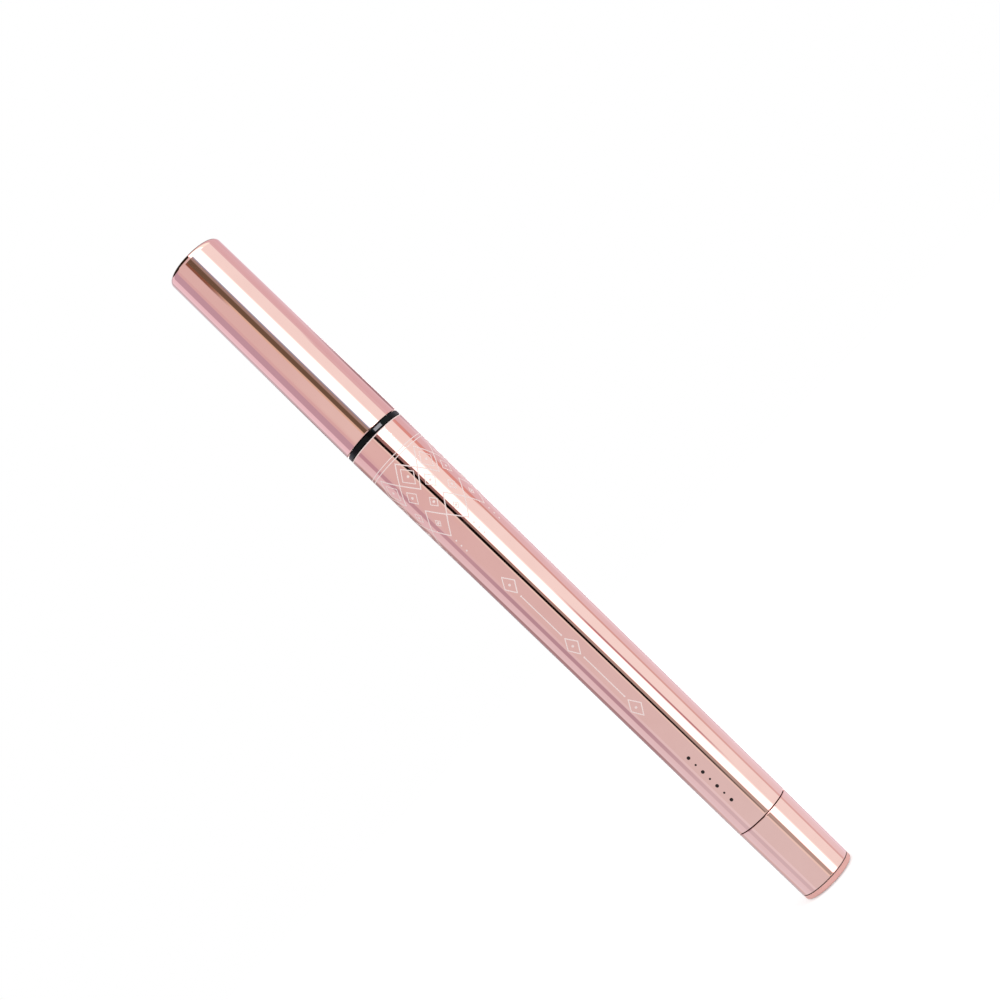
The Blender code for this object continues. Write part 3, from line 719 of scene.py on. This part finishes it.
ink = {
    "rise": 0.000009,           # above the metal
    "sink": 0.000006,           # into it
    "line": 0.00017,
    "fineLine": 0.00013,
    "spot": 0.00021,
    "smallSpot": 0.00015,
    "spotPoints": 12,
    "steps": 8,                 # along a lozenge's side or a ruled line
    "mitre": 0.3,               # keeps a stroke's sharp corners from running far out
}


def onBarrel(across, height, rise):
    radius = barrelRadius(height) + rise
    return Vector((radius * math.sin(across), -radius * math.cos(across), height))


def inkStroke(shape, path, width, closed=False):
    girth = barrelRadius(path[0][1])
    flat = [Vector((across * girth, height)) for across, height in path]
    section = ((1, -ink["sink"]), (1, ink["rise"]), (-1, ink["rise"]), (-1, -ink["sink"]))
    loops = []
    for k, spot in enumerate(flat):
        before = flat[k - 1] if closed or k > 0 else spot * 2 - flat[1]
        after = flat[(k + 1) % len(flat)] if closed or k < len(flat) - 1 else spot * 2 - flat[-2]
        ahead, behind = (after - spot).normalized(), (spot - before).normalized()
        along = (ahead + behind).normalized()
        reach = width / 2 / max(along.dot(ahead), ink["mitre"])
        side = Vector((-along.y, along.x)) * reach
        loop = []
        for aside, rise in section:
            corner = spot + side * aside
            loop.append(shape.verts.new(onBarrel(corner.x / girth, corner.y, rise)))
        loops.append(loop)
    pairs = list(zip(loops, loops[1:]))
    if closed:
        pairs.append((loops[-1], loops[0]))
    wrapSides(shape, pairs)
    if not closed:
        shape.faces.new(loops[0][::-1])
        shape.faces.new(loops[-1])


def inkSpot(shape, across, height, size):
    girth = barrelRadius(height)
    points = ink["spotPoints"]
    rims = []
    for rise in (-ink["sink"], ink["rise"]):
        rim = []
        for k in range(points):
            angle = math.tau * k / points
            rim.append(shape.verts.new(onBarrel(
                across + size * math.cos(angle) / girth, height + size * math.sin(angle), rise)))
        rims.append(rim)
    for k in range(points):
        beyond = (k + 1) % points
        shape.faces.new((rims[0][k], rims[0][beyond], rims[1][beyond], rims[1][k]))
    shape.faces.new(rims[0][::-1])
    shape.faces.new(rims[1])


def inkRing(shape, height, width):
    loops = []
    for k in range(turning["segments"]):
        across = math.tau * k / turning["segments"]
        loops.append([
            shape.verts.new(onBarrel(across, height + up * width / 2, rise))
            for up, rise in ((1, -ink["sink"]), (1, ink["rise"]), (-1, ink["rise"]), (-1, -ink["sink"]))])
    wrapSides(shape, list(zip(loops, loops[1:] + loops[:1])))


def lozengePath(across, height, halfAcross, halfHeight):
    corners = [(0, 1), (1, 0), (0, -1), (-1, 0)]
    path = []
    for here, there in zip(corners, corners[1:] + corners[:1]):
        for k in range(ink["steps"]):
            share = k / ink["steps"]
            path.append((
                across + halfAcross * (here[0] + (there[0] - here[0]) * share),
                height + halfHeight * (here[1] + (there[1] - here[1]) * share)))
    return path


trellis = {
    "top": 0.0915,
    "turn": -8,                 # degrees from the front
    "columns": 8,               # lozenges round the barrel
    "rows": 4,
    "lozengeHeight": 0.0054,
    "reach": 0.99,              # of the outer lozenges, whose tips overlap without sharing corners
    "innerShare": 0.58,         # of an outer lozenge, for the inner ones of the first row
    "innerFewer": 0.12,         # how much that share falls with each row
    "tailSpots": 3,             # below each lozenge of the last row
    "tailStep": 0.4,            # of half a lozenge, between those spots
    "ringGap": 0.00055,         # between the two rings above it
}


def makeTrellis():
    shape = bmesh.new()
    columnTurn = math.tau / trellis["columns"]
    halfHeight = trellis["lozengeHeight"] / 2
    for row in range(trellis["rows"]):
        height = trellis["top"] - halfHeight * (row + 1)
        inner = trellis["innerShare"] - trellis["innerFewer"] * row
        for column in range(trellis["columns"]):
            across = math.radians(trellis["turn"]) + columnTurn * (column + 0.5 * (row % 2))
            if row in (0, trellis["rows"] - 1):
                outer = lozengePath(across, height, columnTurn / 2 * trellis["reach"], halfHeight)
                inkStroke(shape, outer, ink["line"], closed=True)
            heart = lozengePath(across, height, columnTurn / 2 * inner, halfHeight * inner)
            inkStroke(shape, heart, ink["fineLine"], closed=True)
            inkSpot(shape, across, height, ink["spot"])
            if row == trellis["rows"] - 1:
                for step in range(1, trellis["tailSpots"] + 1):
                    spotHeight = height - halfHeight * (1 + trellis["tailStep"] * step)
                    inkSpot(shape, across, spotHeight, ink["smallSpot"])
    for k in (1, 2):
        inkRing(shape, trellis["top"] + k * trellis["ringGap"], ink["fineLine"])
    settle("inkTrellis", shape, paleInk, "barrel", [])


ornament = {
    "turn": -21,                # degrees from the front
    "low": 0.0400,
    "high": 0.0665,
    "lozenges": 3,
    "halfWidth": 0.0011,
    "tall": 1.5,                # height of a lozenge against its width
    "clear": 2.2,               # half widths from a lozenge's middle to the ruled line
}


def makeRuledOrnament():
    shape = bmesh.new()
    across = math.radians(ornament["turn"])
    low, high = ornament["low"], ornament["high"]
    size = ornament["halfWidth"]
    girth = barrelRadius((low + high) / 2)
    last = ornament["lozenges"] - 1
    heights = [low + (high - low) * k / last for k in range(last + 1)]
    for height in heights:
        lozenge = lozengePath(across, height, size / girth, size * ornament["tall"])
        inkStroke(shape, lozenge, ink["line"], closed=True)
        inkSpot(shape, across, height, ink["spot"])
    for lower, upper in zip(heights, heights[1:]):
        start, stop = lower + size * ornament["clear"], upper - size * ornament["clear"]
        path = [(across, start + (stop - start) * k / ink["steps"]) for k in range(ink["steps"] + 1)]
        inkStroke(shape, path, ink["line"])
        for end in (start, stop):
            inkSpot(shape, across, end, ink["smallSpot"])
    settle("inkOrnament", shape, paleInk, "barrel", [])


dotRow = {
    "turn": -21,                # degrees from the front
    "low": 0.0200,
    "high": 0.0290,
    "dots": 7,
    "size": 0.00030,
    "smallShare": 0.6,          # of every other dot
}


def makeDotRow():
    shape = bmesh.new()
    across = math.radians(dotRow["turn"])
    for k in range(dotRow["dots"]):
        height = dotRow["low"] + (dotRow["high"] - dotRow["low"]) * k / (dotRow["dots"] - 1)
        inkSpot(shape, across, height, dotRow["size"] * (1.0 if k % 2 == 0 else dotRow["smallShare"]))
    settle("inkDots", shape, darkInk, "barrel", [])


makeTrellis()
makeRuledOrnament()
makeDotRow()
print("print made")


# Studio: white room with strips of light and shade standing round the pen

studio = {
    "roomLevel": 0.80,          # what lights the dull pieces
    "floorGlow": 0.50,
    "floorTone": 0.70,
    "floorSize": 1.6,
    "lowElevation": -10,        # where a strip shows its "light"
    "highElevation": 8,         # where it shows its "high"
}

# Each strip stands between two azimuths, in degrees round the pen from the lens towards +X. "edge" and
# "edgeTo" soften its two sides, and "lean" and "leanTo" shift them for each degree of elevation. "bottom",
# "top" and "fade" bound its height, in degrees as well. A strip covers those before it
usualStrip = {"lean": 0, "leanTo": 0, "edge": 2, "bottom": -100, "top": 100, "fade": 1}
stripSockets = {
    "From": "from", "To": "to", "Lean": "lean", "Lean To": "leanTo", "Edge": "edge", "Edge To": "edgeTo",
    "Bottom": "bottom", "Top": "top", "Fade": "fade",
}
strips = [
    # Room to the left of the lens
    {"name": "farLeft", "from": -210, "to": -134, "edge": 16, "light": (0.74, 0.76, 0.80),
     "high": (0.48, 0.38, 0.40)},
    {"name": "farLeftHigh", "from": -210, "to": -136, "edge": 16, "bottom": 7,
     "light": (0.78, 0.80, 0.88)},
    {"name": "middleLeft", "from": -210, "to": -127, "edge": 10, "bottom": -8, "top": 2.5, "fade": 4,
     "light": (0.50, 0.42, 0.46)},
    {"name": "leftWall", "from": -127, "to": -92, "edge": 3, "light": (1.02, 1.20, 1.33),
     "high": (1.02, 1.07, 1.20)},
    {"name": "leftWallHigh", "from": -136, "to": -104, "edge": 3, "bottom": 7,
     "light": (1.12, 1.16, 1.35)},
    {"name": "leftShade", "from": -92, "to": -75, "edge": 4, "light": (0.86, 1.00, 1.12),
     "high": (0.68, 0.54, 0.69)},
    {"name": "leftShadeHigh", "from": -105, "to": -75, "edge": 4, "bottom": 7,
     "light": (0.71, 0.67, 0.85)},
    {"name": "middleShade", "from": -92, "to": -72, "edge": 5, "bottom": -7, "top": 1.5, "fade": 4,
     "light": (0.64, 0.60, 0.74)},
    {"name": "leftEdge", "from": -75, "to": -64, "edge": 4, "light": (1.05, 1.28, 1.38),
     "high": (0.92, 0.88, 0.93)},
    # Wall behind the lens, with the lens's own dark line
    {"name": "frontWall", "from": -64, "to": 20, "edge": 4, "light": (0.96, 1.13, 1.17),
     "high": (0.96, 0.93, 0.95)},
    {"name": "frontWallHigh", "from": -64, "to": 20, "edge": 4, "bottom": 7, "light": (0.97, 1.00, 1.01)},
    {"name": "mouthGlow", "from": -60, "to": 0, "edge": 20, "bottom": 7, "top": 11, "fade": 4,
     "light": (1.03, 1.13, 1.12)},
    {"name": "nearShade", "from": 6, "to": 22, "top": 7, "light": (0.62, 0.69, 0.64),
     "high": (0.34, 0.30, 0.27)},
    {"name": "warmLine", "from": -3.2, "to": 3.0, "lean": -0.45, "leanTo": -0.45, "top": 2.6,
     "light": (1.12, 1.28, 1.20)},
    {"name": "lensShade", "from": 1.45, "to": 9.75, "lean": -0.45, "leanTo": -0.15, "edge": 1,
     "bottom": -10, "fade": 8, "top": 6.5, "light": (0.005, 0.003, 0.003)},
    {"name": "lensClear", "from": -16, "to": 16, "bottom": 2.6, "top": 7.2, "fade": 0.1,
     "light": (0.97, 0.98, 0.98)},
    {"name": "frontShade", "from": 2, "to": 24, "bottom": 2.6, "top": 7.2, "fade": 0.1,
     "light": (0.40, 0.31, 0.30)},
    {"name": "warmFront", "from": 0, "to": 6, "lean": -1.5, "leanTo": -1.5, "bottom": 2.6, "top": 7.2,
     "fade": 0.1, "light": (1.12, 1.28, 1.20)},
    {"name": "lensFront", "from": 4.5, "to": 13.3, "lean": -1.5, "leanTo": -1.5, "edge": 1, "bottom": 2.6,
     "top": 7.2, "fade": 0.1, "light": (0.005, 0.003, 0.003)},
    # What the cap shows of it
    {"name": "capLine", "from": -2, "to": 8.2, "bottom": 7, "top": 17, "light": (0.48, 0.49, 0.46)},
    {"name": "capFringe", "from": 7.6, "to": 16, "edge": 1.5, "bottom": 7, "top": 17,
     "light": (0.42, 0.76, 1.10)},
    {"name": "capGlint", "from": 10.6, "to": 16, "edge": 1, "bottom": 7, "top": 17,
     "light": (0.95, 1.90, 2.30)},
    {"name": "capWarm", "from": -17.6, "to": -11, "lean": -0.45, "leanTo": -0.45, "edge": 3, "bottom": 7,
     "top": 17, "light": (1.00, 0.98, 0.78)},
    {"name": "capStreak", "from": -28, "to": -15, "edge": 4, "bottom": 14.6, "top": 17, "fade": 1.2,
     "light": (0.32, 0.18, 0.11)},
    {"name": "capShade", "from": -11.9, "to": -1.3, "lean": -0.45, "edge": 3, "bottom": 7, "top": 17,
     "light": (0.20, 0.18, 0.12)},
    {"name": "mouthShade", "from": -210, "to": -150, "edge": 8, "bottom": 7, "top": 10.5, "fade": 3,
     "light": (0.46, 0.40, 0.44)},
    # Room to the right
    {"name": "farRight", "from": 131, "to": 210, "edge": 4, "light": (1.11, 1.17, 1.30),
     "high": (1.02, 1.02, 1.14)},
    {"name": "rimRight", "from": 154, "to": 210, "edge": 14, "light": (0.78, 0.66, 0.72),
     "high": (0.86, 0.72, 0.82)},
    {"name": "endRight", "from": 116, "to": 210, "edge": 8, "bottom": 13, "fade": 6,
     "light": (0.92, 0.78, 0.88)},
    {"name": "farMouthShade", "from": 140, "to": 210, "edge": 8, "bottom": 7, "top": 10.5, "fade": 3,
     "light": (0.46, 0.34, 0.38)},
    {"name": "rightWall", "from": 100, "to": 133, "edge": 4, "light": (1.10, 1.22, 1.33),
     "high": (0.96, 0.90, 1.01)},
    {"name": "rightEdge", "from": 91, "to": 103, "edge": 3, "light": (0.97, 0.90, 0.90),
     "high": (0.81, 0.58, 0.53)},
    {"name": "rightEdgeHigh", "from": 93, "to": 103, "bottom": 7, "light": (0.98, 0.95, 1.06)},
    {"name": "rightFill", "from": 45, "to": 94, "edge": 3, "light": (1.24, 1.53, 1.54)},
    {"name": "barrelEdge", "from": 89, "to": 101, "edge": 3, "bottom": 3, "top": 7,
     "light": (0.96, 0.62, 0.58)},
    {"name": "capEdge", "from": 88, "to": 95, "edge": 4, "bottom": 7, "top": 11.5,
     "light": (0.98, 0.94, 1.03)},
    # Key light and what stands beside it
    {"name": "keyEdge", "from": 18.3, "to": 47.5, "lean": -0.35, "leanTo": -0.15, "edge": 2.2,
     "edgeTo": 9, "light": (3.0, 3.0, 3.0)},
    {"name": "fillLine", "from": 46.3, "to": 54.0, "lean": -0.62, "leanTo": -0.5, "edge": 3,
     "bottom": -7.9, "fade": 2, "top": -1.7, "light": (0.64, 0.44, 0.50)},
    {"name": "keyEdgeFront", "from": 20.0, "to": 40, "lean": -1.0, "bottom": 2.6, "top": 7.2, "fade": 0.1,
     "light": (3.0, 3.0, 3.0)},
    {"name": "keyEdgeHigh", "from": 12.2, "to": 48, "edge": 0.6, "edgeTo": 9, "bottom": 7,
     "light": (3.0, 3.0, 3.0)},
    {"name": "keyHeart", "from": 16, "to": 48, "edge": 1.5, "bottom": 6.95, "top": 7.8, "fade": 0.3,
     "light": (40.0, 39.0, 42.0)},
    {"name": "keyCrown", "from": 2, "to": 62, "edge": 4, "bottom": 17, "light": (3.0, 3.0, 3.0)},
    {"name": "creamCrown", "from": 62, "to": 98, "edge": 4, "bottom": 17, "light": (1.40, 1.90, 1.75)},
    # Dark ceiling, for the closed end
    {"name": "overheadShade", "from": -70, "to": -3, "edge": 6, "bottom": 50, "fade": 4,
     "light": (0.03, 0.025, 0.012)},
    {"name": "backShade", "from": -176.5, "to": -68, "edge": 4, "bottom": 38, "fade": 4,
     "light": (0.03, 0.025, 0.012)},
    {"name": "backOlive", "from": 158, "to": 210, "edge": 4, "bottom": 24, "fade": 4,
     "light": (0.13, 0.12, 0.04)},
    # Only seen from behind
    {"name": "backKey", "from": 171, "to": 210, "top": 12, "fade": 4, "light": (2.6, 2.6, 2.6)},
    {"name": "backKeyLeft", "from": -210, "to": -175, "top": 12, "fade": 4, "light": (2.6, 2.6, 2.6)},
    {"name": "backLine", "from": -175, "to": -168, "edge": 1.5, "top": 12, "fade": 4,
     "light": (0.05, 0.04, 0.04)},
]


def makeStripGroup():
    group, given, out = newGroup(
        "standingStrip",
        [(label, "NodeSocketFloat", 0.0) for label in ("Azimuth", "Elevation", *stripSockets)],
        [("Mask", "NodeSocketFloat")])
    fromSide = calc(group, "MULTIPLY_ADD", given["Lean"], given["Elevation"], given["From"])
    toSide = calc(group, "MULTIPLY_ADD", given["Lean To"], given["Elevation"], given["To"])
    halfEdge = calc(group, "MULTIPLY", given["Edge"], 0.5)
    halfEdgeTo = calc(group, "MULTIPLY", given["Edge To"], 0.5)
    halfFade = calc(group, "MULTIPLY", given["Fade"], 0.5)
    mask = 1.0
    for value, limit, half, start, end in (
            (given["Azimuth"], fromSide, halfEdge, 0.0, 1.0),
            (given["Azimuth"], toSide, halfEdgeTo, 1.0, 0.0),
            (given["Elevation"], given["Bottom"], halfFade, 0.0, 1.0),
            (given["Elevation"], given["Top"], halfFade, 1.0, 0.0)):
        low = calc(group, "SUBTRACT", limit, half)
        high = calc(group, "ADD", limit, half)
        mask = calc(group, "MULTIPLY", mask, ramp(group, value, low, high, start, end, "SMOOTHSTEP"))
    group.links.new(mask, out["Mask"])
    return group


def seenRays(tree):
    path = tree.nodes.new("ShaderNodeLightPath")
    seen = calc(tree, "MAXIMUM", path.outputs["Is Camera Ray"], path.outputs["Is Transmission Ray"])
    return seen, path.outputs["Is Glossy Ray"]


def makeWorld():
    world = bpy.data.worlds.new("studio")
    bpy.context.scene.world = world
    world.use_nodes = True
    tree = world.node_tree
    background = tree.nodes["Background"]
    stripGroup = makeStripGroup()
    axes = tree.nodes.new("ShaderNodeSeparateXYZ")
    tree.links.new(tree.nodes.new("ShaderNodeTexCoord").outputs["Generated"], axes.inputs[0])
    towardsLens = calc(tree, "MULTIPLY", axes.outputs["Y"], -1.0)
    azimuth = calc(tree, "DEGREES", calc(tree, "ARCTAN2", axes.outputs["X"], towardsLens))
    elevation = calc(tree, "DEGREES", calc(tree, "ARCSINE", axes.outputs["Z"]))
    height = ramp(tree, elevation, studio["lowElevation"], studio["highElevation"])
    colour = rgba((1.0, 1.0, 1.0))
    for strip in strips:
        look = {**usualStrip, "high": strip["light"], **strip}
        look.setdefault("edgeTo", look["edge"])
        sides = {label: float(look[key]) for label, key in stripSockets.items()}
        mask = place(tree, stripGroup, Azimuth=azimuth, Elevation=elevation, **sides)["Mask"]
        light = blendColour(tree, height, rgba(look["light"]), rgba(look["high"]))
        colour = blendColour(tree, mask, colour, light)
    seen, glossy = seenRays(tree)
    shown = calc(tree, "MAXIMUM", seen, glossy)
    tree.links.new(blendColour(tree, glossy, rgba((1.0, 1.0, 1.0)), colour), background.inputs["Color"])
    tree.links.new(ramp(tree, shown, 0.0, 1.0, studio["roomLevel"], 1.0), background.inputs["Strength"])


def makeFloor():
    material, tree, shader = newMaterial("paleFloor")
    shader.inputs["Base Color"].default_value = rgba((studio["floorTone"],) * 3)
    shader.inputs["Roughness"].default_value = 1.0
    shader.inputs["Specular IOR Level"].default_value = 0.0
    shader.inputs["Emission Color"].default_value = rgba((1.0, 1.0, 1.0))
    glow = calc(tree, "MULTIPLY", seenRays(tree)[0], studio["floorGlow"])
    tree.links.new(glow, shader.inputs["Emission Strength"])
    shape = bmesh.new()
    bmesh.ops.create_circle(
        shape, cap_ends=True, segments=turning["smallSegments"], radius=studio["floorSize"])
    mesh = bpy.data.meshes.new("floor")
    shape.to_mesh(mesh)
    shape.free()
    mesh.materials.append(material)
    floor = bpy.data.objects.new("floor", mesh)
    floor.location.z = cadLow.z
    floor.visible_glossy = False
    bpy.context.scene.collection.objects.link(floor)


lamps = [
    {"name": "keyLamp", "azimuth": 38, "elevation": 35, "distance": 0.9, "size": 0.5, "power": 1.6},
    {"name": "fillLamp", "azimuth": -60, "elevation": 20, "distance": 1.0, "size": 0.6, "power": 0.8},
]


def makeLamps():
    middle = (cadLow + cadHigh) / 2
    for lamp in lamps:
        light = bpy.data.lights.new(lamp["name"], "AREA")
        light.shape = "DISK"
        light.size = lamp["size"]
        light.energy = lamp["power"]
        holder = bpy.data.objects.new(lamp["name"], light)
        azimuth, elevation = math.radians(lamp["azimuth"]), math.radians(lamp["elevation"])
        level = math.cos(elevation)
        towards = Vector((math.sin(azimuth) * level, -math.cos(azimuth) * level, math.sin(elevation)))
        holder.location = middle + towards * lamp["distance"]
        holder.rotation_euler = towards.to_track_quat("Z", "Y").to_euler()
        holder.visible_glossy = False
        bpy.context.scene.collection.objects.link(holder)


camera = {
    "distance": 0.268,          # lens to the pen's axis
    "footHeight": 0.0629,       # where the lens stands square to the axis
    "aimHeight": 0.07669,       # the picture's middle, on the pen's plane
    "aimAside": 0.00639,
    "turn": 45.886,             # degrees that the pen's axis leans in the picture
    "pixelSize": 0.00015326,    # of the picture, on the pen's plane
    "picture": 1000,
    "sensor": 36.0,
}


def makeCamera():
    data = bpy.data.cameras.new("camera")
    data.sensor_width = camera["sensor"]
    span = camera["pixelSize"] * camera["picture"]
    data.lens = camera["sensor"] * camera["distance"] / span
    turn = math.radians(camera["turn"])
    rise = (camera["aimHeight"] - camera["footHeight"]) / span
    data.shift_x = -rise * math.sin(turn)
    data.shift_y = rise * math.cos(turn)
    holder = bpy.data.objects.new("camera", data)
    holder.location = (camera["aimAside"], -camera["distance"], camera["footHeight"])
    holder.rotation_euler = (math.pi / 2, turn, 0)
    bpy.context.scene.collection.objects.link(holder)
    bpy.context.scene.camera = holder
    bpy.context.scene.view_settings.view_transform = "Standard"


makeWorld()
makeFloor()
makeLamps()
makeCamera()
print("studio made")
